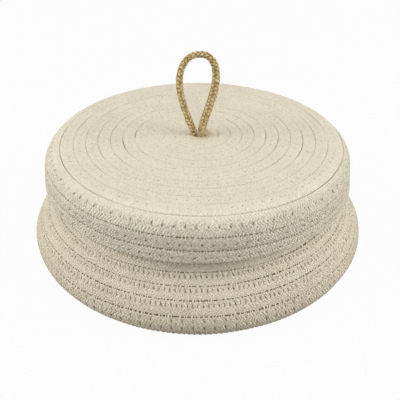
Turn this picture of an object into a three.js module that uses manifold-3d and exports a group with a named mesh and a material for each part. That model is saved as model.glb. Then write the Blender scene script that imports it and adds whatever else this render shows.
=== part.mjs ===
// A round basket of coiled cotton rope with a lift-off lid and a jute loop on the lid.
// The basket and the lid are each one rope, wound in a flat spiral that turns down or up
// into a wall, with every turn sewn to the last. Units are millimetres, +Z is up, and the
// origin is on the table under the middle of the basket.

import * as THREE from 'three';
import Module from 'manifold-3d';

// Rope of both the basket and the lid
const ropePitch = 9.3;            // from one turn to the next along the wall
const ropeWidth = 8.5;            // of one turn, towards its neighbours
const ropeThickness = 10.2;       // of one turn, through the wall

// Shape of the basket's wall, along the middle of the rope
const floorRadius = 115.2;        // where the flat floor starts to turn up
const bellyRadius = 127.8;        // widest turn
const bellyHeight = 14.4;
const shoulderRadius = 120.2;     // where the wall leans in most
const shoulderHeight = 27.6;
const shoulderLean = 42;          // degrees from upright
const neckHeight = 58;            // the wall is upright from here up to the rim
const rimHeight = 76.5;           // top of the last turn, which carries the lid

// Shape of the lid, along the middle of the rope
const lidFlatRadius = 103;        // where the flat top starts to turn down
const lidCornerRadius = 9.5;
const skirtFlare = 6;             // degrees that the skirt leans out from upright
const skirtLength = 17.5;         // of the straight part of the skirt, at the rope's end
const lidSeatGap = 0.3;           // between the rim and the underside of the lid
const lidPlay = 2.8;              // between the rim and the skirt, all round

// Where the windings start, as degrees round from +X seen from above
const basketStartAngle = 10;
const lidStartAngle = 249;
const floorCentreRadius = 6.2;    // middle of the rope's end at the centre of the floor

// Handle cord, which goes down through the middle of the lid
const cordDiameter = 5.8;
const cordGap = 0.6;              // between its two ends
const ropeGap = 1.2;              // from one cord end to the rope of the lid, where it starts
const hingeGap = 0.3;             // over the lid, where the loop bends
const wrapTurns = 2;              // of one end round the other, under the lid
const wrapLeadIn = 0.12;          // of a turn, in which the end bends out of the lid
const wrapPitch = 6.6;
const legLength = 7.6;            // straight down into the lid, before the bend
const wrapRise = 1.0;             // of the top wrap into the hole, past the lid's underside
const tailLength = 8;             // of the straight end, past the wraps

// The loop's right and left sides, as sideways and height over the lid
const loopRoute = [
  [-5.0, 7.5], [-8.2, 16.5], [-11.1, 26], [-13.1, 35.5], [-13.4, 44], [-11.6, 53.5],
  [-6.6, 61], [0.5, 64], [7, 62.8], [11.9, 57], [13.5, 48.6], [12.9, 40], [11.1, 31.5],
  [8.2, 22], [5.2, 12.5],
];

// Fineness of the surfaces
const coilSteps = 24;             // round one turn
const centreSteps = 12;           // round each of the turns nearest the centre
const floorCentreTurns = 12;
const lidCentreTurns = 6;
const cordSides = 8;
const loopSteps = 44;
const wrapSteps = 30;
const domeRings = 3;

const COTTON = { color: 0xd8cfbb, roughness: 0.95, metalness: 0 };
const JUTE = { color: 0xb89c6c, roughness: 0.9, metalness: 0 };

const wasm = await Module();
wasm.setup();

const radians = THREE.MathUtils.degToRad;

// A closed skin over rings of points, each ring with as many points as the last
function skinOver(rings) {
  const sides = rings[0].length;
  const positions = rings.flat().flatMap((point) => point.toArray());
  const faces = [];
  for (let i = 0; i + 1 < rings.length; i++) {
    for (let k = 0; k < sides; k++) {
      const next = (k + 1) % sides;
      const [a, b] = [i * sides + k, i * sides + next];
      faces.push(a, b, b + sides, a, b + sides, a + sides);
    }
  }
  const last = (rings.length - 1) * sides;
  for (let k = 1; k + 1 < sides; k++) {
    faces.push(0, k + 1, k);
    faces.push(last, last + k, last + k + 1);
  }
  const geometry = new THREE.BufferGeometry();
  geometry.setAttribute('position', new THREE.Float32BufferAttribute(positions, 3));
  geometry.setIndex(volumeInside(positions, faces) > 0 ? faces : faces.reverse());
  return geometry;
}

function volumeInside(positions, faces) {
  const corner = (i) => new THREE.Vector3().fromArray(positions, faces[i] * 3);
  let volume = 0;
  for (let i = 0; i < faces.length; i += 3) {
    volume += corner(i).dot(corner(i + 1).cross(corner(i + 2))) / 6;
  }
  return volume;
}

// Middle of the rope in a cut through the basket's wall, as (radius, height) from the
// centre of the floor to the rim
function basketWall() {
  const floorHeight = ropeThickness / 2 - flatCut;
  const lean = radians(shoulderLean);
  const hold = shoulderHeight / 4; // length of the curve's handles at the shoulder
  const wall = new THREE.Path();
  wall.moveTo(0, floorHeight);
  wall.lineTo(floorRadius, floorHeight);
  wall.absellipse(
    floorRadius, bellyHeight, bellyRadius - floorRadius, bellyHeight - floorHeight,
    -Math.PI / 2, 0, false,
  );
  wall.bezierCurveTo(
    bellyRadius, bellyHeight + hold / 2,
    shoulderRadius + hold * Math.sin(lean), shoulderHeight - hold * Math.cos(lean),
    shoulderRadius, shoulderHeight,
  );
  wall.bezierCurveTo(
    shoulderRadius - hold * Math.sin(lean), shoulderHeight + hold * Math.cos(lean),
    neckRadius, neckHeight - hold,
    neckRadius, neckHeight,
  );
  wall.lineTo(neckRadius, rimHeight);
  return wall;
}

// The same for the lid, from its centre to the edge of its skirt
function lidWall() {
  const turn = Math.PI / 2 - radians(skirtFlare);
  const cornerHeight = lidHeight - lidCornerRadius;
  const wall = new THREE.Path();
  wall.moveTo(0, lidHeight);
  wall.lineTo(lidFlatRadius, lidHeight);
  wall.absarc(lidFlatRadius, cornerHeight, lidCornerRadius, Math.PI / 2, Math.PI / 2 - turn, true);
  const end = wall.currentPoint;
  const reach = skirtLength + ropeWidth;
  const out = reach * Math.sin(radians(skirtFlare));
  const down = reach * Math.cos(radians(skirtFlare));
  wall.lineTo(end.x + out, end.y - down);
  return wall;
}

// The rope's six-sided section, as distances along the wall and outwards from it
const ropeSection = [
  [0, ropeThickness / 2], [ropeWidth / 2, ropeThickness / 4], [ropeWidth / 2, -ropeThickness / 4],
  [0, -ropeThickness / 2], [-ropeWidth / 2, -ropeThickness / 4], [-ropeWidth / 2, ropeThickness / 4],
];

// One rope wound along a wall. Each turn's section bends with the wall, so that its sides
// stay alongside those of the turns next to it.
class Coil {
  constructor({ wall, from, to, startAngle, centreTurns }) {
    Object.assign(this, { wall, from, to, startAngle, centreTurns });
    this.length = wall.getLength();
  }

  angleAt(along) {
    return radians(this.startAngle) + 2 * Math.PI * (along - this.from) / ropePitch;
  }

  // The section in the wall's own (radius, height), at a distance along the wall
  outlineAt(along) {
    return ropeSection.map(([aside, outward]) => {
      const t = (along + aside) / this.length;
      const tangent = this.wall.getTangent(t);
      const normal = new THREE.Vector2(-tangent.y, tangent.x);
      return this.wall.getPoint(t).addScaledVector(normal, outward);
    });
  }

  ringAt(along) {
    const angle = this.angleAt(along);
    return this.outlineAt(along).map(
      ({ x, y }) => new THREE.Vector3(x * Math.cos(angle), x * Math.sin(angle), y),
    );
  }

  // Distances along the wall at which the rope has a ring of points
  stations() {
    const stations = [this.from];
    while (stations.at(-1) < this.to) {
      const turn = (stations.at(-1) - this.from) / ropePitch;
      const steps = turn < this.centreTurns - 0.01 ? centreSteps : coilSteps;
      stations.push(Math.min(stations.at(-1) + ropePitch / steps, this.to));
    }
    return stations;
  }

  // The rope's last end runs straight on for its own width
  geometry() {
    const rings = this.stations().map((along) => this.ringAt(along));
    const angle = this.angleAt(this.to);
    const ahead = new THREE.Vector3(-Math.sin(angle), Math.cos(angle), 0);
    rings.push(rings.at(-1).map((point) => point.clone().addScaledVector(ahead, ropeWidth)));
    return skinOver(rings);
  }

  // Least distance between neighbouring turns, on points of the faceted rope
  leastGap() {
    const stations = this.stations();
    const facetedOutline = (along) => {
      const i = Math.max(1, stations.findIndex((station) => station >= along));
      const [low, high] = [stations[i - 1], stations[i]];
      const half = Math.PI * (high - low) / ropePitch;
      const off = 2 * Math.PI * (along - (low + high) / 2) / ropePitch;
      const shrink = Math.cos(half) / Math.cos(off);
      const share = (along - low) / (high - low);
      const [before, after] = [this.outlineAt(low), this.outlineAt(high)];
      return before.map((point, k) => {
        const mixed = point.clone().lerp(after[k], share);
        return new THREE.Vector2(mixed.x * shrink, mixed.y);
      });
    };
    let least = Infinity;
    const step = ropePitch / coilSteps / 4;
    for (let along = this.from + step; along + ropePitch < this.to; along += step) {
      const inner = facetedOutline(along);
      const outer = facetedOutline(along + ropePitch);
      least = Math.min(least, outlineGap(inner, outer), outlineGap(outer, inner));
    }
    return least;
  }
}

// Least distance from the corners of one outline to the sides of another
function outlineGap(corners, outline) {
  let least = Infinity;
  for (const corner of corners) {
    outline.forEach((start, k) => {
      const side = outline[(k + 1) % outline.length].clone().sub(start);
      const along = corner.clone().sub(start).dot(side) / side.lengthSq();
      const nearest = start.clone().addScaledVector(side, THREE.MathUtils.clamp(along, 0, 1));
      least = Math.min(least, nearest.distanceTo(corner));
    });
  }
  return least;
}

// A round cord along a curve, with flat or domed ends
function cordAlong(curve, steps, { domed = false } = {}) {
  const radius = cordDiameter / 2;
  const frames = curve.computeFrenetFrames(steps, false);
  const ring = (i, scale, shift) => {
    const centre = curve.getPointAt(i / steps).addScaledVector(frames.tangents[i], shift);
    return Array.from({ length: cordSides }, (_, k) => {
      const angle = 2 * Math.PI * (k + 0.5) / cordSides;
      return centre.clone()
        .addScaledVector(frames.normals[i], scale * radius * Math.cos(angle))
        .addScaledVector(frames.binormals[i], scale * radius * Math.sin(angle));
    });
  };
  const rings = Array.from({ length: steps + 1 }, (_, i) => ring(i, 1, 0));
  if (domed) {
    for (let i = 1; i <= domeRings; i++) {
      const angle = Math.PI / 2 * i / (domeRings + 0.5);
      rings.unshift(ring(0, Math.cos(angle), -radius * Math.sin(angle)));
      rings.push(ring(steps, Math.cos(angle), radius * Math.sin(angle)));
    }
  }
  return skinOver(rings);
}

// Least distance between parts of a cord that are over a quarter turn of it apart
function cordGapAlong(curve, steps) {
  const points = curve.getSpacedPoints(steps);
  const apart = Math.ceil(Math.PI * cordDiameter / (curve.getLength() / steps));
  let least = Infinity;
  points.forEach((point, i) => {
    for (let j = i + apart; j < points.length; j++) {
      least = Math.min(least, point.distanceTo(points[j]));
    }
  });
  return least - cordDiameter;
}

// A geometry with what lies below the table cut away
function cutAtTable(geometry) {
  const solidOf = ({ attributes, index }) => new wasm.Manifold(new wasm.Mesh({
    numProp: 3,
    vertProperties: new Float32Array(attributes.position.array),
    triVerts: new Uint32Array(index.array),
  }));
  const side = 4 * bellyRadius;
  const table = weldedBox(side, side, ropeThickness).translate(0, 0, -ropeThickness / 2);
  const { vertProperties, triVerts } = solidOf(geometry).subtract(solidOf(table)).getMesh();
  const cut = new THREE.BufferGeometry();
  cut.setAttribute('position', new THREE.Float32BufferAttribute(vertProperties, 3));
  cut.setIndex([...triVerts]);
  return cut;
}

function weldedBox(width, depth, height) {
  const corners = (z) => [[-1, -1], [1, -1], [1, 1], [-1, 1]].map(
    ([x, y]) => new THREE.Vector3(x * width / 2, y * depth / 2, z * height / 2),
  );
  return skinOver([corners(-1), corners(1)]);
}

function named(name, geometry, finish) {
  const mesh = new THREE.Mesh(geometry, new THREE.MeshStandardMaterial(finish));
  mesh.name = name;
  return mesh;
}

// Sizes that follow from those above
const flatCut = ropeThickness / 10;
const neckRadius = lidFlatRadius + lidCornerRadius - ropeThickness - lidPlay;
const lidUnderside = rimHeight + lidSeatGap;
const lidHeight = lidUnderside + ropeThickness / 2;
const lidTop = lidHeight + ropeThickness / 2;
const endSpacing = (cordDiameter + cordGap) / 2; // of each cord end from the lid's centre
const lidCentreRadius = cordDiameter / 2 + ropeGap + ropeWidth / 2; // in front of the cord

// Basket
const basketPath = basketWall();
const basketCoil = new Coil({
  wall: basketPath,
  from: floorCentreRadius,
  to: basketPath.getLength() - ropeWidth / 2,
  startAngle: basketStartAngle,
  centreTurns: floorCentreTurns,
});

// Lid
const lidPath = lidWall();
const lidCoil = new Coil({
  wall: lidPath,
  from: lidCentreRadius,
  to: lidPath.getLength() - ropeWidth,
  startAngle: lidStartAngle,
  centreTurns: lidCentreTurns,
});

// Handle loop, which bends at the level of its two feet
const hingeHeight = lidTop + hingeGap + cordDiameter / 2;
const loopPoints = [
  [-endSpacing, hingeHeight - lidTop],
  ...loopRoute,
  [endSpacing, hingeHeight - lidTop],
].map(([across, over]) => new THREE.Vector3(across, 0, lidTop + over));
const loopCurve = new THREE.CatmullRomCurve3(loopPoints, false, 'centripetal');

// The end that comes down through the lid and is wound round the other one under it
const wrapTop = lidUnderside + wrapRise - cordDiameter / 2;
const wrapRadius = 2 * endSpacing;
const wrapPoints = [lidTop, lidTop - legLength].map(
  (height) => new THREE.Vector3(-endSpacing, 0, height),
);
for (let turn = wrapLeadIn; turn <= wrapTurns; turn += 1 / 12) {
  const angle = Math.PI + 2 * Math.PI * turn;
  wrapPoints.push(new THREE.Vector3(
    endSpacing + wrapRadius * Math.cos(angle),
    wrapRadius * Math.sin(angle),
    wrapTop - wrapPitch * (turn - wrapLeadIn),
  ));
}
const wrappedEnd = new THREE.CatmullRomCurve3(wrapPoints, false, 'centripetal');

// The end that runs straight down through the wraps
const straightBottom = wrapTop - wrapTurns * wrapPitch - tailLength;
const straightEnd = new THREE.LineCurve3(
  new THREE.Vector3(endSpacing, 0, lidTop),
  new THREE.Vector3(endSpacing, 0, straightBottom),
);

const basket = new THREE.Group();
basket.add(
  named('basket_coil', cutAtTable(basketCoil.geometry()), COTTON),
  named('lid_coil', lidCoil.geometry(), COTTON),
  named('handle_loop', cordAlong(loopCurve, loopSteps, { domed: true }), JUTE),
  named('handle_wrapped_end', cordAlong(wrappedEnd, wrapSteps), JUTE),
  named('handle_straight_end', cordAlong(straightEnd, 2), JUTE),
);

console.log(`least gap between turns: basket ${basketCoil.leastGap().toFixed(2)} mm,`
  + ` lid ${lidCoil.leastGap().toFixed(2)} mm,`
  + ` wraps ${cordGapAlong(wrappedEnd, 400).toFixed(2)} mm`);

export default basket;
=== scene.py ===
from collections import namedtuple
import math

import bpy
import numpy as np
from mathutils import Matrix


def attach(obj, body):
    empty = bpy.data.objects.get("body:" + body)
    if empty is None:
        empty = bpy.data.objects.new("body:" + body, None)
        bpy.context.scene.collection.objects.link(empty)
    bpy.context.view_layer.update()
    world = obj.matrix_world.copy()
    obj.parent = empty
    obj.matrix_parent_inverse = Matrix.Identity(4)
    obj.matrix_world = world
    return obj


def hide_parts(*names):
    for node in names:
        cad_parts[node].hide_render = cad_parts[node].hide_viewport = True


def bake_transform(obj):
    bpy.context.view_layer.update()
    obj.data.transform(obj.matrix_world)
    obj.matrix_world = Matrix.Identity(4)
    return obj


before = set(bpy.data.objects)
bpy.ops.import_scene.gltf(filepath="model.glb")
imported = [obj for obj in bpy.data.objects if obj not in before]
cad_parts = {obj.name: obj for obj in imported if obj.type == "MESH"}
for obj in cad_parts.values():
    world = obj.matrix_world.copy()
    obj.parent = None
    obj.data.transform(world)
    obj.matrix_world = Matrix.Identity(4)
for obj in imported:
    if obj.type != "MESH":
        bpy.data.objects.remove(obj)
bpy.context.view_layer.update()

# Camera. The photograph was taken from straight in front and a good way above the lid. The
# place, tilt and lens were fitted to the outlines of the lid and the basket.
CAMERA_PLACE = (0.0, -0.3826, 0.2812)
CAMERA_TILT = math.radians(56.73)   # up from looking straight down
PICTURE_WIDTH = 36.0                # mm, for which the focal length holds
FOCAL_LENGTH = 49.35
PICTURE_SHIFT = (0.0058, -0.0118)   # shares of the picture's width

camera = bpy.data.objects.new("camera", bpy.data.cameras.new("camera"))
bpy.context.collection.objects.link(camera)
camera.location = CAMERA_PLACE
camera.rotation_euler = (CAMERA_TILT, 0.0, 0.0)
camera.data.sensor_width = PICTURE_WIDTH
camera.data.lens = FOCAL_LENGTH
camera.data.shift_x, camera.data.shift_y = PICTURE_SHIFT
camera.data.clip_start = 0.01
bpy.context.scene.camera = camera


# Studio. A white floor that keeps a faint shadow of the basket, plain white walls all round,
# a soft box at each side, and weaker ones overhead and in front.
WHITE = (1.0, 1.0, 1.0, 1.0)
FLOOR_SIDE = 6.0
FLOOR_GREY = (0.35, 0.35, 0.35, 1.0)    # so that it throws only a little light upwards
FLOOR_GLOW = 0.96           # share of the floor that the camera sees as plain white
WALL_LIGHT = 0.55           # strength of the light that comes from all round
LAMPS_AIM = (0, 0, 0.05)


def put(name, data):
    thing = bpy.data.objects.new(name, data)
    bpy.context.collection.objects.link(thing)
    return thing


class Finish:
    """How a surface or the walls look, put together from shader nodes."""

    def __init__(self, holder):
        holder.use_nodes = True
        self.holder, self.tree = holder, holder.node_tree
        self.tree.nodes.clear()

    def add(self, kind, inputs=None, **settings):
        """A node. Each of its inputs is a number, a colour or what another node gives."""
        node = self.tree.nodes.new(kind)
        for setting, value in settings.items():
            setattr(node, setting, value)
        for socket, value in (inputs or {}).items():
            if isinstance(value, bpy.types.NodeSocket):
                self.tree.links.new(value, node.inputs[socket])
            else:
                node.inputs[socket].default_value = value
        return node

    def calc(self, operation, *values):
        return self.add("ShaderNodeMath", dict(enumerate(values)), operation=operation).outputs[0]

    def seen_directly(self):
        """1 where it is seen by the camera, or in or through something glossy."""
        ray = self.add("ShaderNodeLightPath").outputs
        either = self.calc("MAXIMUM", ray["Is Camera Ray"], ray["Is Glossy Ray"])
        return self.calc("MAXIMUM", either, ray["Is Transmission Ray"])


half = FLOOR_SIDE / 2
floor_mesh = bpy.data.meshes.new("floor")
floor_mesh.from_pydata(
    [(-half, -half, 0), (half, -half, 0), (half, half, 0), (-half, half, 0)], [], [(0, 1, 2, 3)])
floor = put("floor", floor_mesh)
floor_white = Finish(bpy.data.materials.new("floor white"))
grey = floor_white.add("ShaderNodeBsdfDiffuse", {"Color": FLOOR_GREY})
glow = floor_white.add("ShaderNodeEmission")
both = floor_white.add("ShaderNodeMixShader", {
    0: floor_white.calc("MULTIPLY", floor_white.seen_directly(), FLOOR_GLOW),
    1: grey.outputs[0], 2: glow.outputs[0]})
floor_white.add("ShaderNodeOutputMaterial", {"Surface": both.outputs[0]})
floor_mesh.materials.append(floor_white.holder)

bpy.context.scene.world = bpy.data.worlds.new("white walls")
walls = Finish(bpy.context.scene.world)
light = walls.add("ShaderNodeBackground", {"Color": WHITE, "Strength": WALL_LIGHT})
plain = walls.add("ShaderNodeBackground", {"Color": WHITE, "Strength": 1.0})
both = walls.add("ShaderNodeMixShader", {
    0: walls.seen_directly(), 1: light.outputs[0], 2: plain.outputs[0]})
walls.add("ShaderNodeOutputWorld", {"Surface": both.outputs[0]})


def soft_box(name, place, side, watts):
    lamp = bpy.data.lights.new(name, "AREA")
    lamp.shape = "SQUARE"
    lamp.size = side
    lamp.energy = watts
    box = put(name, lamp)
    box.location = place
    away = np.array(place) - np.array(LAMPS_AIM)
    reach = math.hypot(away[0], away[1])
    box.rotation_euler = (math.atan2(reach, away[2]), 0, math.atan2(away[0], -away[1]))


soft_box("overhead", (0, -0.5, 1.45), side=1.4, watts=1.8)
soft_box("left side", (-1.3, -0.2, 0.7), side=0.8, watts=14.0)
soft_box("right side", (1.3, -0.2, 0.7), side=0.8, watts=14.0)
soft_box("front", (0, -1.3, 0.7), side=0.8, watts=2.4)
bpy.context.scene.view_settings.view_transform = "Standard"


# Basket rope. One soft rope of undyed cotton with a braided cover, wound from the middle of
# the floor outwards and up into the wall. Each turn is sewn against the last, which presses
# their sides flat, and the stitches draw narrow slits into the braid.
ROPE_PITCH = 0.0093         # from one turn to the next along the wall
ROPE_THICKNESS = 0.0102
FLOOR_CUT = ROPE_THICKNESS / 10     # the rope is pressed flat by so much where it stands
FLOOR_RADIUS = 0.1152       # where the flat floor starts to turn up
BELLY = (0.1278, 0.0144)    # radius and height of the widest turn
SHOULDER = (0.1202, 0.0276)         # and of where the wall leans in most
SHOULDER_LEAN = math.radians(42)
LID_FLAT_RADIUS = 0.103     # where the lid's flat top starts to turn down
LID_CORNER_RADIUS = 0.0095
LID_PLAY = 0.0028           # between the neck and the skirt of the lid
NECK_RADIUS = LID_FLAT_RADIUS + LID_CORNER_RADIUS - ROPE_THICKNESS - LID_PLAY
NECK_HEIGHT = 0.058         # the wall is upright from here up to the rim
RIM_HEIGHT = 0.0765
FLOOR_CENTRE_RADIUS = 0.0062        # middle of the rope's end at the centre of the floor
BASKET_START = math.radians(10)     # where that end lies, round from +X
BASKET_TIGHT = 0.00007      # how far the stitches press each side of a turn into the next
TABLE_GAP = 0.00003

MEASURED_AT = 60000         # places along the wall at which the rope's length is worked out
STITCH = 0.0034             # from one needle hole to the next, along the rope
RINGS_AT = np.array([-0.12, 0.0, 0.12, 0.28, 0.43, 0.57, 0.72])  # in each stitch length
LOW_TURN = (1655, 1885)     # stitches of the lowest turn of the wall, which is sewn otherwise
SLIT = (0.08, 0.8)          # from where to where on the face: 0 is its middle, 1 the next seam
LOW_SLITS = ((0.45, 0.8), (-0.45, -0.05))   # in the lowest turn, on every second stitch
SLIT_DEPTH = 0.00085
SWELL = 0.00008             # of the rope between two slits

BRAID_LAY = 0.6             # stitch lengths from one strand of the braid to the next
BRAID_COLUMNS = 1.3         # V-shaped columns of strands side by side over half of a face
BRAID_SLANT = 0.9           # strands that one passes on its way across a slope of the V
BRAID_STRAY = 0.25          # of a strand, by which the braid strays along the rope
STRAY_ALONG, STRAY_ACROSS = 0.61, 2.0   # radians of that to a stitch length and half a face
BRAID_DEPTH = 0.00012
BRAID_FADES = 0.2           # of half a face, over which the braid fades out towards a seam
FLUFF = 0.35                # of random roughness, to 1 of the braid

WAVER_OUT = 0.0004          # by which a turn strays from the wall's outline: outwards,
WAVER_UP = 0.0003           # up or down,
WAVER_ALONG = 0.00018       # and along the wall,
WAVER_THICK = 0.03          # and the share by which it is thicker or thinner
DOME_LENGTH = 0.0025        # of the rope's rounded ends
DOME_RINGS = (0.5, 0.95, 1.3)       # radians up the dome
DOME_LAID = np.array([0.3, 0.5, 0.7])   # stitch lengths that its rings lie past the last one


def straight(start, end, steps=60):
    share = np.linspace(0, 1, steps)[:, None]
    return np.array(start) * (1 - share) + np.array(end) * share


def bend(start, leaving, arriving, end, steps=60):
    share = np.linspace(0, 1, steps)[:, None]
    back = 1 - share
    return (back**3 * np.array(start) + 3 * back**2 * share * np.array(leaving)
            + 3 * back * share**2 * np.array(arriving) + share**3 * np.array(end))


def arc(centre, radii, first, last, steps=80):
    angle = np.linspace(first, last, steps)
    return np.column_stack([
        centre[0] + radii[0] * np.cos(angle), centre[1] + radii[1] * np.sin(angle),
    ])


class Wall:
    """The middle of the rope in a cut through a wall, as (radius, height) along it."""

    def __init__(self, stretches):
        self.line = np.vstack([stretches[0]] + [stretch[1:] for stretch in stretches[1:]])
        steps = np.linalg.norm(np.diff(self.line, axis=0), axis=1)
        self.along = np.concatenate([[0], np.cumsum(steps)])
        self.length = self.along[-1]
        slope = np.gradient(self.line, self.along, axis=0)
        self.slope = slope / np.linalg.norm(slope, axis=1)[:, None]

    def at(self, along, outward):
        radius = np.interp(along, self.along, self.line[:, 0])
        height = np.interp(along, self.along, self.line[:, 1])
        radial = np.interp(along, self.along, self.slope[:, 0])
        rising = np.interp(along, self.along, self.slope[:, 1])
        return radius - rising * outward, height + radial * outward


def unevenness(angle, along, seed):
    """A slow, smooth waver, about -1 to 1, that changes little from one turn to the next."""
    rng = np.random.default_rng(seed)
    total = np.zeros(np.broadcast(angle, along).shape)
    # Waves to a turn, and radians by which they drift in 0.1 m or 0.13 m along the wall
    for waves, drift in ((2, 9), (3, 16), (5, 22), (7, 34), (11, 47), (17, 60)):
        shift = rng.uniform(0, 2 * math.pi, 2)
        total += np.sin(waves * angle + drift * along / 0.1 + shift[0]) / waves**0.5
        total += np.sin(waves * angle - drift * along / 0.13 + shift[1]) / waves**0.5
    return total / 4


def face_turn(ratio, facing):
    """Turn round the rope of a place on one face, from -1 at one seam to 1 at the other."""
    return facing / 4 + facing * -np.arctan(ratio) / (2 * math.pi)


def face_ratio(turn):
    """The opposite of face_turn, the same for the outer and the inner face."""
    across, out = np.cos(2 * math.pi * turn), np.abs(np.sin(2 * math.pi * turn))
    return across / np.maximum(np.maximum(out, np.abs(across)), 1e-9)


def outline_turns(facing):
    """Turns round the rope of its points: close together on the face that shows."""
    fine = np.array([0, 0.12, 0.25, 0.38, 0.5, 0.62, 0.74, 0.86, 0.95, 1.0, 1.7, 30.0])
    coarse = np.array([0, 0.55, 1.0, 1.8])
    turns = np.concatenate([
        face_turn(np.concatenate([-fine[1:], fine]), facing),
        face_turn(np.concatenate([-coarse[1:], coarse]), -facing)])
    return np.sort(turns % 1)


class WoundRope:
    """A rope wound along a wall. Its section is squarer the higher its squareness is.

    The facing is 1 if the face that shows is the upper one where the wall lies flat, else -1.
    """

    def __init__(self, wall, first, last, start, facing, squareness, seed, tight, oblong=None):
        self.wall, self.first, self.last, self.start = wall, first, last, start
        self.facing, self.turns = facing, outline_turns(facing)
        self.squareness, self.seed = squareness, seed
        self.tight, self.oblong = tight, oblong
        self.fine = np.linspace(first, last, MEASURED_AT)
        winding = 2 * math.pi * wall.at(self.fine, 0)[0] / ROPE_PITCH
        steps = np.hypot(winding, 1)[1:] * np.diff(self.fine)
        self.length = np.concatenate([[0], np.cumsum(steps)])
        self.stitches = int(self.length[-1] / STITCH)
        rng = np.random.default_rng(seed + 70)
        # How far each stitch is off its place, in stitch lengths, and how hard it is pulled
        self.shift = rng.uniform(-0.09, 0.09, self.stitches + 2)
        self.pull = rng.uniform(0.55, 1.15, self.stitches + 2)

    def along_at(self, stitches):
        """Distance along the wall, from a distance along the rope in stitches."""
        near = np.clip(np.rint(stitches).astype(int), 0, self.stitches)
        fading = np.maximum(0, 1 - 2 * np.abs(stitches - near))
        return np.interp((stitches + self.shift[near] * fading) * STITCH, self.length, self.fine)

    def angle(self, along):
        return self.start + 2 * math.pi * (along - self.first) / ROPE_PITCH

    def place(self, along, turn, raised=0.0):
        """Points on the rope's surface, at a distance along the wall and a turn round it."""
        power = self.squareness(along)
        across = np.cos(2 * math.pi * turn)
        out = np.sin(2 * math.pi * turn)
        reach = (np.abs(across)**power + np.abs(out)**power)**(-1 / power)
        across = across * reach * (ROPE_PITCH / 2 + self.tight)
        out = out * reach * ROPE_THICKNESS / 2
        size = np.hypot(across, out)
        across, out = across * (1 + raised / size), out * (1 + raised / size)
        angle = self.angle(along)
        waver = unevenness(angle, along, self.seed)
        lean = unevenness(angle, along, self.seed + 1)
        radius, height = self.wall.at(
            along + across + WAVER_ALONG * lean, out * (1 + WAVER_THICK * waver))
        radius, height = radius + WAVER_OUT * waver, height + WAVER_UP * lean
        if self.oblong:
            radius = self.oblong(radius, angle, along)
        return np.stack([radius * np.cos(angle), radius * np.sin(angle), height], axis=-1)


def zigzag(place):
    """Straight slopes up and down between 0 and 1, one of each to every 2."""
    return np.abs((place % 2) - 1)


def skin_faces(rings, sides, first=0):
    """Faces of a closed skin over rings of points: those between the rings, and both ends."""
    corner = first + np.arange(rings * sides).reshape(rings, sides)
    after = np.roll(corner, -1, axis=1)
    around = np.stack([corner[:-1], after[:-1], after[1:], corner[1:]], axis=-1)
    return around.reshape(-1, 4).tolist() + [corner[0, ::-1].tolist(), corner[-1].tolist()]


def rope_mesh(name, rope, coarse_to, relief, braid_depth):
    """Skins rings of points round the rope, and keeps where each point is on the rope.

    Up to coarse_to along the wall, where little of the rope shows, half the rings are left out.
    """
    sides = len(rope.turns)
    laid = (np.arange(1, rope.stitches)[:, None] + RINGS_AT[None, :]).reshape(-1)
    hidden = rope.along_at(laid) < coarse_to
    laid = laid[~hidden | (np.arange(len(laid)) % 2 == 1)]
    along = rope.along_at(laid)[:, None]
    ratio = face_ratio(rope.turns)[None, :]
    stray = BRAID_STRAY * np.sin(laid[:, None] * STRAY_ALONG + STRAY_ACROSS * ratio)
    strands = np.cos(2 * math.pi * (
        laid[:, None] / BRAID_LAY + BRAID_SLANT * zigzag(ratio * BRAID_COLUMNS * 2) + stray))
    fluff = np.random.default_rng(rope.seed + 50).normal(0, FLUFF, (len(laid), sides))
    clear_of_seam = np.clip((1 - np.abs(ratio)) / BRAID_FADES, 0, 1)
    grain = braid_depth(along) * (strands + fluff) * clear_of_seam
    rings = rope.place(along, rope.turns[None, :], grain + relief(rope, laid[:, None], ratio))
    for end, ahead in ((0, 1), (-1, -2)):
        middle = rings[end].mean(axis=0)
        beyond = middle - rings[ahead].mean(axis=0)
        beyond /= np.linalg.norm(beyond)
        dome = [
            middle + (rings[end] - middle) * math.cos(lift)
            + beyond * DOME_LENGTH * math.sin(lift) for lift in DOME_RINGS
        ]
        if end == 0:
            rings = np.vstack([dome[::-1], rings])
            laid = np.concatenate([laid[:1] - DOME_LAID[::-1], laid])
        else:
            rings = np.vstack([rings, dome])
            laid = np.concatenate([laid, laid[-1:] + DOME_LAID])
    mesh = bpy.data.meshes.new(name)
    mesh.from_pydata(rings.reshape(-1, 3).tolist(), [], skin_faces(len(rings), sides))
    ratio = np.append(ratio, ratio[0, 0])
    u = np.stack([laid[:-1], laid[:-1], laid[1:], laid[1:]], axis=-1)[:, None, :]
    v = np.stack([ratio[:-1], ratio[1:], ratio[1:], ratio[:-1]], axis=-1)[None, :, :]
    pairs = np.stack(np.broadcast_arrays(u, v), axis=-1).reshape(-1, 2)
    pairs = np.vstack([pairs, np.full((2 * sides, 2), 0.5)])
    mesh.uv_layers.new(name="rope").data.foreach_set("uv", pairs.reshape(-1))
    mesh.polygons.foreach_set("use_smooth", np.ones(len(mesh.polygons), dtype=bool))
    return mesh


def between(value, low, high, soft=0.2):
    """1 between two limits, fading to 0 beside them."""
    return np.clip((value - low) / soft + 0.5, 0, 1) * np.clip((high - value) / soft + 0.5, 0, 1)


def basket_squareness(along):
    return np.full(np.shape(along), 8.0)


def basket_braid_depth(along):
    return np.full(np.shape(along), BRAID_DEPTH)


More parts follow.
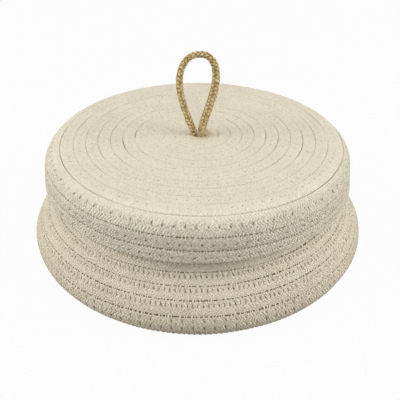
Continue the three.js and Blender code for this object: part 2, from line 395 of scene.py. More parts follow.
def basket_relief(rope, laid, ratio):
    """Each stitch draws a narrow slit into the rope, which swells between two of them."""
    number = np.rint(laid).astype(int)
    beside = np.abs(laid - number)
    slit = np.interp(beside, (0, 0.12, 0.28), (1.0, 0.5, 0.0))
    pull = rope.pull[np.clip(number, 0, rope.stitches)]
    swell = np.interp(beside, (0.12, 0.4), (0.0, SWELL)) * (1 - ratio**4)
    low = (laid > LOW_TURN[0]) & (laid < LOW_TURN[1])
    single = slit * between(ratio, *SLIT)
    double = slit * (number % 2 == 0) * (
        between(ratio, *LOW_SLITS[0]) + between(ratio, *LOW_SLITS[1]))
    return swell - SLIT_DEPTH * pull * np.where(low, double, single)


def keep_off_table(mesh):
    """Flattens what would reach below the table."""
    places = np.zeros(len(mesh.vertices) * 3)
    mesh.vertices.foreach_get("co", places)
    places[2::3] = np.maximum(places[2::3], TABLE_GAP)
    mesh.vertices.foreach_set("co", places)


floor_height = ROPE_THICKNESS / 2 - FLOOR_CUT
curve = SHOULDER[1] / 4     # how strongly the wall's two bends run on at their ends
lean_out, lean_up = curve * math.sin(SHOULDER_LEAN), curve * math.cos(SHOULDER_LEAN)
basket_wall = Wall([
    straight((0, floor_height), (FLOOR_RADIUS, floor_height)),
    arc((FLOOR_RADIUS, BELLY[1]),
        (BELLY[0] - FLOOR_RADIUS, BELLY[1] - ROPE_THICKNESS / 2 + FLOOR_CUT), -math.pi / 2, 0),
    bend(BELLY, (BELLY[0], BELLY[1] + curve / 2),
         (SHOULDER[0] + lean_out, SHOULDER[1] - lean_up), SHOULDER),
    bend(SHOULDER, (SHOULDER[0] - lean_out, SHOULDER[1] + lean_up),
         (NECK_RADIUS, NECK_HEIGHT - curve), (NECK_RADIUS, NECK_HEIGHT)),
    straight((NECK_RADIUS, NECK_HEIGHT), (NECK_RADIUS, RIM_HEIGHT)),
])
basket_rope = WoundRope(
    basket_wall, FLOOR_CENTRE_RADIUS, basket_wall.length - ROPE_PITCH / 2, BASKET_START,
    facing=-1, squareness=basket_squareness, seed=3, tight=BASKET_TIGHT)
mesh = rope_mesh("basket_rope", basket_rope, coarse_to=FLOOR_RADIUS - 0.006,
                 relief=basket_relief, braid_depth=basket_braid_depth)
keep_off_table(mesh)
basket = put("basket_rope", mesh)

# Colours of the cotton as the photograph shows them, and how its tone is mixed: 0 is the
# pale colour and 1 the shaded one
BASKET_PALE = (224, 214, 193)
COTTON_SHADED = (122, 106, 78)
SLIT_PAINTED_SHADE = (0.20, 0.15, 0.09, 1)   # painted shade: the colour is multiplied by it deep in slits and needle holes
SLIT_SHADE = 0.95           # how fully it is, at the deepest
BASE_TONE = 0.13
BLOTCHES = 0.2              # slow changes, lighter
CROWNS = 0.17               # painted shade: crowns of the strands lighter, and their edges darker
SPECKLE = 1.9               # of the yarn, lighter and darker
BRAID_SHADE = 0.14          # painted shade of the braid as a whole
TANGLED = 1.2               # strands, by which the yarn's tangle shifts the pattern at most
LINT_RELIEF = 2.0           # height of the lint, to 1 of the braid
SLIT_RELIEF = 1.5           # and depth of the slits
SLIT_FADES = (1.2, 0.35)    # from clear to dark, where 1 is the slit's own outline
SLIT_LEAN = 0.3             # stitch lengths, from the lean furthest back to the furthest ahead
LEAN_AHEAD = 0.4            # share of the slits that lean ahead along the rope
SEAM_FROM = 0.86            # where on the face the rope starts to turn in to its seam
# Painted shade where one turn of the rope meets the next
SEAM_SHADE = 0.17
PAINTED_SHADE_BY_HEIGHT = (0.034, 0.020, -0.02, 0.165)   # painted light above the first height and painted shade below the second: from one height to another, from one shade to another
SMOOTH_FADE = 0.0040        # depth below pressed cotton over which the braid comes back in full
SMOOTH_LEFT = 0.5           # share of the braid that still shows where it is pressed


def from_photo(red, green, blue):
    """A colour as the screen shows it, turned into the light that it stands for."""
    return tuple(
        (c / 255 / 12.92) if c <= 10 else ((c / 255 + 0.055) / 1.055) ** 2.4
        for c in (red, green, blue)
    ) + (1.0,)


def noise(finish, where, scale, detail=2.0):
    return finish.add(
        "ShaderNodeTexNoise", {"Vector": where, "Scale": scale, "Detail": detail}).outputs["Fac"]


def fade(finish, value, start, end, at_start=0.0, at_end=1.0):
    """A smooth change from one number to another, while the value goes from start to end."""
    return finish.add(
        "ShaderNodeMapRange",
        {"Value": value, "From Min": start, "From Max": end, "To Min": at_start,
         "To Max": at_end}, interpolation_type="SMOOTHSTEP").outputs[0]


def mix_colours(finish, share, first, second, **settings):
    return finish.add("ShaderNodeMix", {"Factor": share, "A": first, "B": second},
                      data_type="RGBA", **settings).outputs["Result"]


def complete(finish, colour, height, strength, depth, roughness, shine):
    """The material: its colour, its fine relief, depth metres deep, and how it takes light."""
    bump = finish.add("ShaderNodeBump", {
        "Height": height, "Strength": strength, "Distance": depth})
    surface = finish.add("ShaderNodeBsdfPrincipled", {
        "Base Color": colour, "Normal": bump.outputs[0], "Roughness": roughness,
        "Specular IOR Level": shine})
    finish.add("ShaderNodeOutputMaterial", {"Surface": surface.outputs[0]})
    return finish.holder


# A row of slits or needle holes: the middle and half height on the rope's face, the half
# width and the distance from one to the next in stitch lengths, how dark their painted shade
# is, how unequally so, and the stitches at which the row starts and ends
Slits = namedtuple("Slits", "middle half_height half_width every dark unequal first last")
ROPE_END = 1e6              # past the last stitch of either rope


def slit_depth(finish, along, ratio, slits):
    """How deep a place lies in one of a row of slits, from 0 to the darkness of its painted shade.
    """
    calc = finish.calc
    stitch = calc("DIVIDE", along, slits.every)
    number = calc("ROUND", stitch)
    fate = finish.add(
        "ShaderNodeTexWhiteNoise", {"W": number}, noise_dimensions="1D").outputs["Value"]
    aside = calc("MULTIPLY", calc("SUBTRACT", stitch, number), slits.every)
    up = calc("DIVIDE", calc("SUBTRACT", ratio, slits.middle), slits.half_height)
    slant = calc("MULTIPLY", up, calc(
        "MULTIPLY", calc("SUBTRACT", fate, LEAN_AHEAD), SLIT_LEAN))
    aside = calc("DIVIDE", calc("ADD", aside, slant), slits.half_width)
    away = calc("SQRT", calc(
        "ADD", calc("POWER", calc("ABSOLUTE", up), 3.0), calc("MULTIPLY", aside, aside)))
    in_row = calc("MULTIPLY", calc("GREATER_THAN", along, slits.first),
                  calc("LESS_THAN", along, slits.last))
    dark = calc("MULTIPLY", calc("MULTIPLY", in_row, slits.dark),
                calc("POWER", fate, slits.unequal))
    return calc("MULTIPLY", dark, fade(finish, away, *SLIT_FADES))


def cotton_finish(name, pale, grain, rows, smooth_above=None, painted_by_height=None):
    """Undyed cotton braid: slanting strands of fine yarn; painted shade where a stitch sinks in.

    The grain is how much painted shade lies between the braid's strands. Above the height
    smooth_above the face is pressed flat and its strands hardly show, in relief and in their
    painted shade. The last argument gives painted shade low down and a little painted light higher
    up.
    """
    finish = Finish(bpy.data.materials.new(name))
    calc = finish.calc
    where = finish.add("ShaderNodeTexCoord").outputs["Object"]
    height = finish.add("ShaderNodeSeparateXYZ", {0: where}).outputs["Z"]
    lay = finish.add("ShaderNodeUVMap", uv_map="rope").outputs[0]
    along, ratio, _ = finish.add("ShaderNodeSeparateXYZ", {0: lay}).outputs
    blotch = noise(finish, where, scale=45.0, detail=4.0)
    tangle = noise(finish, where, scale=330.0, detail=1.0)
    lint = noise(finish, where, scale=950.0, detail=3.0)
    rough = 1.0
    if smooth_above:
        rough = fade(finish, height, smooth_above, smooth_above - SMOOTH_FADE, SMOOTH_LEFT)

    # The braid, in step with the strands of the mesh
    slopes = calc("PINGPONG", calc("ADD", calc("MULTIPLY", ratio, BRAID_COLUMNS * 2), 1.0), 1.0)
    strand = calc("MULTIPLY_ADD", slopes, BRAID_SLANT, calc("DIVIDE", along, BRAID_LAY))
    turned = calc("ADD", calc("MULTIPLY", along, STRAY_ALONG),
                  calc("MULTIPLY", ratio, STRAY_ACROSS))
    strand = calc("ADD", strand, calc("MULTIPLY", calc("SINE", turned), BRAID_STRAY))
    strand = calc("MULTIPLY_ADD", tangle, TANGLED, strand)
    braid = calc("COSINE", calc("MULTIPLY", strand, 2 * math.pi))

    # Where the stitches sink in, for the painted shade in slits and needle holes
    deep = 0.0
    for row in rows:
        deep = calc("MAXIMUM", deep, slit_depth(finish, along, ratio, row))

    # Tone: slow changes along the rope, and painted shade: lighter crowns, darker between the
    # strands, at the seams and low on the basket
    speckle = calc("MULTIPLY_ADD", calc("SUBTRACT", 0.5, lint), SPECKLE, BRAID_SHADE)
    valley = calc("MULTIPLY", grain, calc("MULTIPLY_ADD", braid, -CROWNS, speckle))
    seam = fade(finish, calc("ABSOLUTE", ratio), SEAM_FROM, 1.0, 0.0, SEAM_SHADE)
    # Painted shade low on the basket, and a little painted light higher up
    height_shade = fade(finish, height, *painted_by_height) if painted_by_height else 0.0
    valley = calc("ADD", valley, calc("ADD", seam, height_shade))
    even = calc("MULTIPLY_ADD", blotch, -BLOTCHES, BASE_TONE)
    tone = calc("MAXIMUM", 0.0, calc("MULTIPLY_ADD", valley, rough, even))
    colour = mix_colours(finish, tone, from_photo(*pale), from_photo(*COTTON_SHADED))
    colour = mix_colours(finish, calc("MULTIPLY", deep, SLIT_SHADE), colour, SLIT_PAINTED_SHADE,
                         blend_type="MULTIPLY")
    yarn = calc("MULTIPLY", calc("MULTIPLY_ADD", lint, LINT_RELIEF, braid), rough)
    relief = calc("SUBTRACT", yarn, calc("MULTIPLY", deep, SLIT_RELIEF))
    return complete(finish, colour, relief, strength=0.6, depth=0.0005, roughness=0.95, shine=0.08)


# Painted shade in the slits, and in needle holes along the seams
mesh.materials.append(cotton_finish("undyed cotton braid, basket", BASKET_PALE, grain=0.64, rows=(
    Slits(0.42, 0.38, 0.13, every=1.0, dark=0.85, unequal=0.35, first=0, last=LOW_TURN[0]),
    Slits(0.42, 0.38, 0.13, every=1.0, dark=0.85, unequal=0.35, first=LOW_TURN[1], last=ROPE_END),
    Slits(0.62, 0.27, 0.15, 2.0, 0.85, 0.3, *LOW_TURN),
    Slits(-0.25, 0.27, 0.15, 2.0, 0.85, 0.3, *LOW_TURN),
    Slits(0.96, 0.08, 0.12, every=0.5, dark=0.15, unequal=0.5, first=0, last=ROPE_END),
), painted_by_height=PAINTED_SHADE_BY_HEIGHT))
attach(basket, "basket")
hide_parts("basket_coil")


# Basket thread. A machine zigzag of cotton thread that joins each turn to the next: each
# stitch comes up out of the rope, sinks into its face and goes over the seam.
THREAD_RADIUS = 0.00028
BRIDGE_RADIUS = 0.00038     # where the two threads of a stitch lie together over the seam
BRIDGE_SINK = (-0.0002, -0.0001)    # how high they lie there, on the face and at the seam
OFF_ROPE = 0.001            # how far off the rope a point is taken, to find its way outwards
THREAD_PALE = (232, 225, 207)
THREAD_SHADED = (206, 196, 172)


def thread_bars(lines, aways, radius):
    """Points and faces of one short bar of thread along each line."""
    ahead = np.gradient(lines, axis=1)
    aside = np.cross(ahead, aways)
    aside /= np.linalg.norm(aside, axis=-1)[..., None]
    turn = math.pi / 2 * np.arange(4) + math.pi / 4
    ring = (lines[:, :, None, :]
            + radius * np.cos(turn)[None, None, :, None] * aside[:, :, None, :]
            + radius * np.sin(turn)[None, None, :, None] * aways[:, :, None, :])
    corner = np.arange(ring[..., 0].size).reshape(ring.shape[:3])
    after = np.roll(corner, -1, axis=2)
    faces = np.stack(
        [corner[:, :-1], after[:, :-1], after[:, 1:], corner[:, 1:]], axis=-1).reshape(-1, 4)
    return ring.reshape(-1, 3), np.vstack([faces, corner[:, 0, ::-1], corner[:, -1]])


def laid_thread(rope, stitches, ratios, leans, lifts):
    """Bars that lie on the rope's face.

    At each of the ratios, the thread leans sideways by so many stitch lengths and lies so
    much higher than the face.
    """
    rng = np.random.default_rng(rope.seed + 30)
    ratios = np.array(ratios)[None, :] + rng.normal(0, 0.03, (len(stitches), 1))
    leans = np.array(leans)[None, :] * rng.uniform(0.8, 1.2, (len(stitches), 1))
    pace = np.interp(rope.along_at(stitches), rope.fine, np.gradient(rope.fine, rope.length))
    along = rope.along_at(stitches[:, None]) + pace[:, None] * leans * STITCH
    turns = face_turn(ratios, rope.facing)
    lifts = np.array(lifts)[None, :]
    lines = rope.place(along, turns, lifts)
    aways = rope.place(along, turns, lifts + OFF_ROPE) - lines
    return lines, aways / np.linalg.norm(aways, axis=-1)[..., None], THREAD_RADIUS


def seam_thread(rope, stitches):
    """Bars that cross the seam from one turn of the rope to the next."""
    rng = np.random.default_rng(rope.seed + 40)
    along = rope.along_at(stitches)
    along = along[along + ROPE_PITCH < rope.last][:, None]
    along = along + rng.normal(0, 0.00001, along.shape)
    own = face_turn(np.array([[SEAM_FROM, 1.0]]), rope.facing)
    other = face_turn(np.array([[-1.0, -SEAM_FROM]]), rope.facing)
    sink = np.array([BRIDGE_SINK])

    def crossing(raised):
        return np.concatenate([
            rope.place(along, own, sink + raised),
            rope.place(along + ROPE_PITCH, other, sink[:, ::-1] + raised)], axis=1)

    lines = crossing(0.0)
    aways = (crossing(OFF_ROPE) - lines).mean(axis=1, keepdims=True)
    aways = np.repeat(aways, lines.shape[1], axis=1)
    return lines, aways / np.linalg.norm(aways, axis=-1)[..., None], BRIDGE_RADIUS


def thread_mesh(name, groups):
    points, faces = [], []
    for lines, aways, radius in groups:
        bars, skin = thread_bars(lines, aways, radius)
        faces += (skin + sum(len(group) for group in points)).tolist()
        points.append(bars)
    mesh = bpy.data.meshes.new(name)
    mesh.from_pydata(np.vstack(points).tolist(), [], faces)
    mesh.polygons.foreach_set("use_smooth", np.ones(len(mesh.polygons), dtype=bool))
    return mesh


def thread_finish():
    """Twisted cotton thread, a little smoother than the rope."""
    finish = Finish(bpy.data.materials.new("cotton thread"))
    ply = noise(finish, finish.add("ShaderNodeTexCoord").outputs["Object"], scale=2600.0)
    colour = mix_colours(finish, ply, from_photo(*THREAD_SHADED), from_photo(*THREAD_PALE))
    return complete(finish, colour, ply, strength=0.4, depth=0.0001, roughness=0.8, shine=0.2)


cotton_thread = thread_finish()
every_stitch = np.arange(2.0, basket_rope.stitches - 1)
twice_a_stitch = np.arange(2.25, basket_rope.stitches - 1, 0.5)
mesh = thread_mesh("basket_thread", [
    laid_thread(basket_rope, every_stitch, ratios=(0.5, 0.7, 0.85, 0.95, 1.0),
                leans=(0, 0, 0, 0, 0), lifts=(-0.0012, -0.0006, -0.0002, 0.0001, 0.0)),
    seam_thread(basket_rope, twice_a_stitch)])
keep_off_table(mesh)
mesh.materials.append(cotton_thread)
basket_thread = put("basket_thread", mesh)
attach(basket_thread, "basket")


# Lid rope. The same kind of cotton rope, wound into a flat top with a hole for the handle at
# its middle, then down into a skirt that goes over the neck of the basket. Its flat top is
# pressed smooth, and its stitches show as small needle holes.
SKIRT_FLARE = math.radians(6)
SKIRT_LENGTH = 0.0175       # of the straight part of the skirt, at the rope's end
LID_SEAT_GAP = 0.0003       # between the rim and the underside of the lid
LID_HEIGHT = RIM_HEIGHT + LID_SEAT_GAP + ROPE_THICKNESS / 2     # of the middle of the rope
LID_TOP = LID_HEIGHT + ROPE_THICKNESS / 2
LID_PALE = (223, 215, 196)
LID_PRESSED = 0.0018        # depth below the top down to which the lid is pressed smooth
LID_TIGHT = 0.00003
LID_FIRST_TURN = 0.00835    # radius of the rope's middle, where it comes clear of the cord
LID_FIRST_ANGLE = 249       # degrees round from +X to there
TUCKED_ANGLE = 224          # degrees of rope before that, pressed in round the handle's cord
HOLE = (0.0063, 0.0032)     # half width and half depth of the hole for the two cord ends
HOLE_POWER = 2.5            # 2 would be an ellipse, and more is squarer
LEFT_BULGE = 0.0019         # how much further out the first turns run on the left
BULGE_FADES = (0.011, 0.042)        # from where to where along the lid
LID_CORNER_FROM = 1125      # stitches from the middle, where the rope turns over the corner
HOLES_DEEPEN = 80           # stitches from there, over which the needle holes get deeper
HOLE_DEPTHS = (0.00015, 0.0009)     # on the flat top and on the skirt


def round_the_cord(radius, angle, along):
    """The first turns go round two cord ends side by side, and are pressed against them."""
    left = np.maximum(0, -np.cos(angle))**2
    radius = radius + LEFT_BULGE * left * np.interp(along, BULGE_FADES, (1.0, 0.0))
    hole = ((np.abs(np.cos(angle)) / HOLE[0])**HOLE_POWER
            + (np.abs(np.sin(angle)) / HOLE[1])**HOLE_POWER)**(-1 / HOLE_POWER)
    return np.maximum(radius, hole)


def lid_squareness(along):
    """Nearly square on the flat top, rounder from the corner down."""
    return np.interp(along, (LID_FLAT_RADIUS + 0.006, LID_FLAT_RADIUS + 0.013), (20.0, 6.0))


def lid_braid_depth(along):
    """Pressed nearly smooth on the flat top."""
    return np.interp(
        along, (LID_FLAT_RADIUS + 0.004, LID_FLAT_RADIUS + 0.009), (0.00004, 0.00020))


def lid_relief(rope, laid, ratio):
    """Every second stitch length has a needle hole in the middle of the rope's face."""
    number = np.rint(laid / 2).astype(int)
    beside = np.abs(laid - 2 * number)
    hole = np.interp(beside, (0, 0.12, 0.2), (1.0, 0.3, 0.0))
    pull = rope.pull[np.clip(number, 0, rope.stitches)]
    deep = np.interp(laid, (LID_CORNER_FROM, LID_CORNER_FROM + HOLES_DEEPEN), HOLE_DEPTHS)
    return -deep * pull * hole * between(ratio, -0.14, 0.14, soft=0.25)


skirt_top = (LID_FLAT_RADIUS + LID_CORNER_RADIUS * math.cos(SKIRT_FLARE),
             LID_HEIGHT - LID_CORNER_RADIUS + LID_CORNER_RADIUS * math.sin(SKIRT_FLARE))
skirt_reach = SKIRT_LENGTH + ROPE_PITCH
lid_wall = Wall([
    straight((0, LID_HEIGHT), (LID_FLAT_RADIUS, LID_HEIGHT)),
    arc((LID_FLAT_RADIUS, LID_HEIGHT - LID_CORNER_RADIUS),
        (LID_CORNER_RADIUS, LID_CORNER_RADIUS), math.pi / 2, SKIRT_FLARE),
    straight(skirt_top, (skirt_top[0] + skirt_reach * math.sin(SKIRT_FLARE),
                         skirt_top[1] - skirt_reach * math.cos(SKIRT_FLARE))),
])
lid_rope = WoundRope(
    lid_wall, LID_FIRST_TURN - ROPE_PITCH * TUCKED_ANGLE / 360, lid_wall.length - ROPE_PITCH,
    math.radians(LID_FIRST_ANGLE - TUCKED_ANGLE), facing=1, squareness=lid_squareness, seed=11,
    tight=LID_TIGHT, oblong=round_the_cord)
mesh = rope_mesh("lid_rope", lid_rope, coarse_to=0.0, relief=lid_relief,
                 braid_depth=lid_braid_depth)
lid = put("lid_rope", mesh)
# Painted shade in the needle holes, and along the seams of the skirt
mesh.materials.append(cotton_finish("undyed cotton braid, lid", LID_PALE, grain=1.0, rows=(
    Slits(0.0, 0.17, 0.15, every=2.0, dark=0.75, unequal=1.0, first=0, last=LID_CORNER_FROM),
    Slits(0.0, 0.24, 0.2, every=2.0, dark=1.0, unequal=0.6, first=LID_CORNER_FROM, last=ROPE_END),
    Slits(0.96, 0.08, 0.15, every=0.6, dark=0.35, unequal=0.5, first=LID_CORNER_FROM,
          last=ROPE_END),
), smooth_above=LID_TOP - LID_PRESSED))
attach(lid, "lid")
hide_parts("lid_coil")


# Lid thread. The same zigzag in longer stitches: from each needle hole two legs of thread run
# to the seam nearer the middle of the lid, like a V. Over the seams it shows on the skirt.
SKIRT_SEAM_FROM = LID_CORNER_FROM + 15.3    # stitches from the middle
LEG_RATIOS = (0.0, -0.15, -0.45, -0.75, -0.97)
LEG_LEANS = (0, 0.1, 0.35, 0.62, 0.8)       # stitch lengths to either side
LEG_LIFTS = (-0.0007, -0.00022, -0.00018, -0.00018, -0.0003)

every_hole = np.arange(10.0, lid_rope.stitches - 2, 2.0)
mesh = thread_mesh("lid_thread", [
    laid_thread(lid_rope, every_hole, LEG_RATIOS, [lean * way for lean in LEG_LEANS], LEG_LIFTS)
    for way in (-1, 1)
] + [seam_thread(lid_rope, np.arange(SKIRT_SEAM_FROM, lid_rope.stitches - 2, 0.6))])
mesh.materials.append(cotton_thread)
lid_thread = put("lid_thread", mesh)
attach(lid_thread, "lid")


# Handle loop. One braided jute cord, doubled so that a loop stands up over the lid. Twelve
# strands of coarse yarn are braided round a core, and loose hairs stick out of them.
CORD_DIAMETER = 0.0058
CORD_GAP = 0.0006           # between the two ends in the lid's hole
END_SPACING = (CORD_DIAMETER + CORD_GAP) / 2    # of each end from the middle of the lid
HINGE_GAP = 0.0003          # between the lid and the cord, when the loop is folded over on it
LOOP_FOOT = HINGE_GAP + CORD_DIAMETER / 2   # height over the lid at which the loop bends
LOOP_ROUTE = [              # sideways and height over the lid, from the left foot to the right
    (-0.0050, 0.0075), (-0.0082, 0.0165), (-0.0111, 0.0260), (-0.0131, 0.0355),
    (-0.0134, 0.0440), (-0.0116, 0.0535), (-0.0066, 0.0608), (0.0005, 0.0635),
    (0.0070, 0.0623), (0.0119, 0.0568), (0.0135, 0.0486), (0.0129, 0.0400),
    (0.0111, 0.0315), (0.0082, 0.0220), (0.0052, 0.0125),
]
ROUTE_STEP = 0.00045
LOOP_FULLNESS = (           # share of the way from foot to foot, and of the cord's diameter
    (0, 0.95), (0.3, 0.95), (0.48, 0.88), (0.58, 0.95), (0.7, 1.12), (1, 1.16),
)
STRANDS = 6                 # of the braid, in each direction
STRAND_LAY = 0.018          # one turn of a strand round the cord
STRAND_WIDTH = 0.0021
STRAND_THICKNESS = 0.0012
STRAND_SIDES = 8
STRAND_SWAY = 0.42          # in and out where strands cross, as a share of their thickness
CORE_RADIUS = 0.0019
HAIR_RADIUS = 0.00004
CORE_OVER, HAIR_OVER = -0.4, 0.6    # how far over the strands they count for their tone; the core's low value paints shade on it
FIBRE_STRETCH = (0.45, 7.0, 1.0)    # long along a strand, and fine across it
FIBRE_TONE, PATCH_TONE = 0.6, 0.4   # shares of the tone
OVER_PAINTED_SHADE, OVER_MIDDLE = 0.26, 0.45     # painted shade: paler where a strand is on top, darker below the middle
JUTE_TONES = (              # place on the scale of tones, and its colour in the photograph
    (0.34, (66, 50, 28)), (0.45, (124, 101, 62)), (0.56, (176, 152, 104)),
    (0.68, (220, 202, 162)),
)


def lengths_along(line):
    return np.concatenate([[0], np.cumsum(np.linalg.norm(np.diff(line, axis=0), axis=1))])


def smooth_route(points):
    """Points a step apart on a smooth line through the given ones."""
    points = np.array(points, float)
    points = np.vstack([2 * points[0] - points[1], points, 2 * points[-1] - points[-2]])

    def blend_at(u, start, end, first, second):
        return (end - u) / (end - start) * first + (u - start) / (end - start) * second

    line = []
    for i in range(1, len(points) - 2):
        p = points[i - 1:i + 3]
        t = np.concatenate([[0], np.cumsum(np.sqrt(np.linalg.norm(np.diff(p, axis=0), axis=1)))])
        u = np.linspace(t[1], t[2], 40, endpoint=i == len(points) - 3)[:, None]
        a = [blend_at(u, t[k], t[k + 1], p[k], p[k + 1]) for k in range(3)]
        b = [blend_at(u, t[k], t[k + 2], a[k], a[k + 1]) for k in range(2)]
        line.append(blend_at(u, t[1], t[2], b[0], b[1]))
    line = np.vstack(line)
    along = lengths_along(line)
    even = np.linspace(0, along[-1], int(round(along[-1] / ROUTE_STEP)) + 1)
    return np.column_stack([np.interp(even, along, line[:, k]) for k in range(3)])


def frames_along(line):
    """Two directions square to the line at each point, carried along it without a twist."""
    ahead = np.gradient(line, axis=0)
    ahead /= np.linalg.norm(ahead, axis=1)[:, None]
    side = np.cross(ahead[0], (0.0, 1.0, 0.001))
    side /= np.linalg.norm(side)
    sides = []
    for direction in ahead:
        side = side - direction * side.dot(direction)
        side /= np.linalg.norm(side)
        sides.append(side)
    sides = np.array(sides)
    return ahead, sides, np.cross(ahead, sides)


def tube(line, radii, sides):
    """Points and faces of a tube with a radius at each point of its line."""
    _, right, up = frames_along(line)
    turn = 2 * math.pi * np.arange(sides) / sides
    ring = (line[:, None, :]
            + right[:, None, :] * (np.cos(turn)[None, :] * radii[:, None])[..., None]
            + up[:, None, :] * (np.sin(turn)[None, :] * radii[:, None])[..., None])
    return ring.reshape(-1, 3), skin_faces(len(line), sides)


def braided_cord(line, fullness):
    """The strands of a cord braided two over, two under, and where each point is on them.

    The second of the two numbers says how far it lies over the other strands, from -0.5 to 1.
    """
    _, right, up = frames_along(line)
    along = lengths_along(line)
    crossing = along * 2 * STRANDS / STRAND_LAY
    middle = CORD_DIAMETER / 2 - STRAND_THICKNESS * 0.95
    turn = 2 * math.pi * np.arange(STRAND_SIDES) / STRAND_SIDES
    edge = np.abs(np.cos(turn))[None, :]
    points, faces, places = [], [], []
    for way in (1, -1):
        for strand in range(STRANDS):
            theta = 2 * math.pi * (strand / STRANDS + way * along / STRAND_LAY)
            phase = way * np.sin(math.pi / 2 * (way * crossing + 2 * strand) + math.pi / 4)
            radius = fullness * (middle + STRAND_THICKNESS * STRAND_SWAY * phase)
            out = np.cos(theta)[:, None] * right + np.sin(theta)[:, None] * up
            path = line + radius[:, None] * out
            aside = np.cross(np.gradient(path, axis=0), out)
            aside /= np.linalg.norm(aside, axis=1)[:, None]
            wide = np.cos(turn)[None, :] * STRAND_WIDTH / 2 * fullness[:, None]
            high = np.sin(turn)[None, :] * STRAND_THICKNESS / 2 * fullness[:, None]
            ring = (path[:, None, :] + aside[:, None, :] * wide[..., None]
                    + out[:, None, :] * high[..., None])
            number = len(points)
            faces += skin_faces(len(line), STRAND_SIDES, first=number * ring[..., 0].size)
            # Lower at the strand's edges and where it dips under, for the painted shade there
            over = 0.5 + 0.5 * phase[:, None] - 0.5 * edge**3
            yarn = lengths_along(path) * 1000 + 97.0 * number
            places.append(np.column_stack([np.repeat(yarn, STRAND_SIDES), over.reshape(-1)]))
            points.append(ring.reshape(-1, 3))
    return np.vstack(points), faces, np.vstack(places)


def fibres(roots, ways, lengths, radius, seed):
    """Loose jute fibres: thin three-sided hairs that curl a little on their way out."""
    rng = np.random.default_rng(seed)
    share = np.linspace(0, 1, 5)
    points, faces = [], []
    for root, way, length in zip(roots, ways, lengths):
        curl = rng.normal(0, 0.35, 3)
        line = root + (way[None, :] * share[:, None] + curl[None, :] * share[:, None]**2) * length
        ring, skin = tube(line, radius * (1.15 - share), 3)
        first = sum(len(p) for p in points)
        points.append(ring)
        faces += [[first + corner for corner in face] for face in skin]
    return np.vstack(points), faces


def jute_finish():
    """Coarse jute yarn: long fibres of uneven tan and brown, with painted shade where strands
    cross.
    """
    finish = Finish(bpy.data.materials.new("braided jute"))
    calc = finish.calc
    lay = finish.add("ShaderNodeUVMap", uv_map="strand").outputs[0]
    over = finish.add("ShaderNodeSeparateXYZ", {0: lay}).outputs[1]
    stretched = finish.add("ShaderNodeMapping", {"Vector": lay, "Scale": FIBRE_STRETCH})
    fibre = noise(finish, stretched.outputs[0], scale=1.0, detail=5.0)
    patch = noise(finish, finish.add("ShaderNodeTexCoord").outputs["Object"], scale=420.0)

    tone = calc("ADD", calc("MULTIPLY", fibre, FIBRE_TONE), calc("MULTIPLY", patch, PATCH_TONE))
    # Painted shade: darker where a strand dips under the others, at its edges, and on the core
    tone = calc("MULTIPLY_ADD", calc("SUBTRACT", over, OVER_MIDDLE), OVER_PAINTED_SHADE, tone)
    ramp = finish.add("ShaderNodeValToRGB", {"Fac": tone})
    for place, _ in JUTE_TONES[2:]:
        ramp.color_ramp.elements.new(place)
    for element, (place, colour) in zip(ramp.color_ramp.elements, JUTE_TONES):
        element.position = place
        element.color = from_photo(*colour)
    return complete(finish, ramp.outputs[0], fibre, strength=0.7, depth=0.00015,
                    roughness=0.75, shine=0.25)


jute = jute_finish()


def jute_piece(name, points, faces, places):
    mesh = bpy.data.meshes.new(name)
    mesh.from_pydata(points.tolist(), [], faces)
    loops = np.zeros(len(mesh.loops), dtype=np.int32)
    mesh.loops.foreach_get("vertex_index", loops)
    mesh.uv_layers.new(name="strand").data.foreach_set("uv", places[loops].reshape(-1))
    mesh.polygons.foreach_set("use_smooth", np.ones(len(mesh.polygons), dtype=bool))
    mesh.materials.append(jute)
    return put(name, mesh)


def cord_piece(name, line, fullness, hairs, seed):
    """A length of the cord: its strands, the core inside them and the fuzz that it has."""
    rng = np.random.default_rng(seed)
    points, faces, places = braided_cord(line, fullness)
    core, skin = tube(line, CORE_RADIUS * fullness, STRAND_SIDES)
    faces += [[len(points) + corner for corner in face] for face in skin]
    yarn = np.repeat(np.arange(len(line)) * 0.4 + 3000.0, STRAND_SIDES)
    places = np.vstack([places, np.column_stack([yarn, np.full(len(core), CORE_OVER)])])
    points = np.vstack([points, core])
    at = rng.integers(3, len(line) - 3, hairs)
    ahead, right, up = frames_along(line)
    around = rng.uniform(0, 2 * math.pi, hairs)
    out = np.cos(around)[:, None] * right[at] + np.sin(around)[:, None] * up[at]
    ways = out * rng.uniform(0.25, 0.8, hairs)[:, None]
    ways = ways + ahead[at] * rng.normal(0, 0.9, hairs)[:, None]
    hair, skin = fibres(line[at] + out * (CORD_DIAMETER / 2 - 0.0003), ways,
                        rng.uniform(0.0012, 0.0030, hairs), HAIR_RADIUS, seed + 1)
    faces += [[len(points) + corner for corner in face] for face in skin]
    places = np.vstack([places, np.column_stack([
        np.arange(len(hair)) * 0.37, np.full(len(hair), HAIR_OVER)])])
    return jute_piece(name, np.vstack([points, hair]), faces, places)


loop_line = smooth_route([
    (across, 0.0, LID_TOP + over)
    for across, over in [(-END_SPACING, LOOP_FOOT), *LOOP_ROUTE, (END_SPACING, LOOP_FOOT)]])
loop_fullness = np.interp(np.linspace(0, 1, len(loop_line)), *zip(*LOOP_FULLNESS))
loop = cord_piece("handle_loop_braid", loop_line, loop_fullness, hairs=300, seed=31)
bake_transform(loop)
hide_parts("handle_loop")


# Ends of the cord. Both ends of the same jute cord run down from the loop's feet through the
# hole in the lid. Under the lid one is wound twice round the other, which holds the loop.
LEG_LENGTH = 0.0076         # straight down into the lid, before the wound end bends
WRAP_TURNS = 2
WRAP_LEAD_IN = 0.12         # of a turn, in which the end bends out of the lid
WRAP_PITCH = 0.0066
WRAP_RISE = 0.0010          # of the top wrap into the hole, past the lid's underside
WRAP_STEPS = 12             # points of the route to a turn
TAIL_LENGTH = 0.008         # of the straight end, past the wraps
TAIL_MIDDLE = 0.012         # depth of its middle point below the top of the lid
END_FULLNESS = 0.97

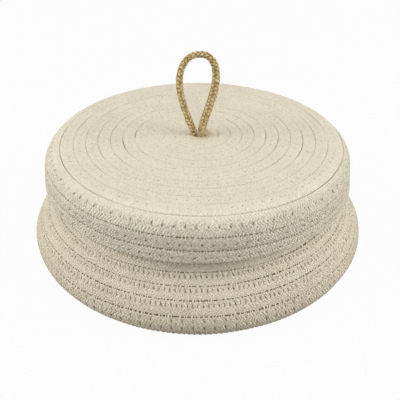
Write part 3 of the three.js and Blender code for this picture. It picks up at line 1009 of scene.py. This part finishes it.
wrap_top = LID_HEIGHT - ROPE_THICKNESS / 2 + WRAP_RISE - CORD_DIAMETER / 2
wrap_route = [(-END_SPACING, 0.0, LID_TOP + LOOP_FOOT), (-END_SPACING, 0.0, LID_TOP),
              (-END_SPACING, 0.0, LID_TOP - LEG_LENGTH)]
for step in range(int((WRAP_TURNS - WRAP_LEAD_IN) * WRAP_STEPS) + 1):
    turned = WRAP_LEAD_IN + step / WRAP_STEPS
    angle = math.pi + 2 * math.pi * turned
    wrap_route.append((
        END_SPACING + 2 * END_SPACING * math.cos(angle), 2 * END_SPACING * math.sin(angle),
        wrap_top - WRAP_PITCH * (turned - WRAP_LEAD_IN)))
tail_route = [(END_SPACING, 0.0, LID_TOP + LOOP_FOOT), (END_SPACING, 0.0, LID_TOP - TAIL_MIDDLE),
              (END_SPACING, 0.0, wrap_top - WRAP_TURNS * WRAP_PITCH - TAIL_LENGTH)]
for name, route, node, seed in (
    ("handle_wound_braid", wrap_route, "handle_wrapped_end", 41),
    ("handle_tail_braid", tail_route, "handle_straight_end", 43),
):
    line = smooth_route(route)
    end = cord_piece(name, line, np.full(len(line), END_FULLNESS), hairs=60, seed=seed)
    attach(end, "lid")
    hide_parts(node)


# Frayed jute. Coarse fibres that have worked loose from the right foot of the loop, where the
# cord rubs on the edge of the hole. They lie out over the lid, towards the front and right.
FRAY_FIBRES = 150
FRAY_RADIUS = 0.00017
FRAY_PAINTED_LIGHT = 1.5             # painted light: paler than any strand, against the shade the fibres cast on one another

rng = np.random.default_rng(51)
around = rng.uniform(-2.8, 0.9, FRAY_FIBRES)
reach = rng.uniform(0.0020, 0.0032, FRAY_FIBRES)
roots = np.column_stack([
    END_SPACING + 0.0003 + reach * np.cos(around), reach * np.sin(around) - 0.0004,
    LID_TOP + rng.uniform(0.0003, 0.0040, FRAY_FIBRES)])
ways = np.column_stack([
    np.cos(around) + 0.3, np.sin(around) - 0.4, rng.uniform(-0.9, 0.1, FRAY_FIBRES)])
hairs, skin = fibres(roots, ways, rng.uniform(0.0020, 0.0045, FRAY_FIBRES), FRAY_RADIUS, seed=52)
fray = jute_piece("jute_fray", hairs, skin, np.column_stack([
    np.arange(len(hairs)) * 0.21, np.full(len(hairs), FRAY_PAINTED_LIGHT)]))
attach(fray, "lid")
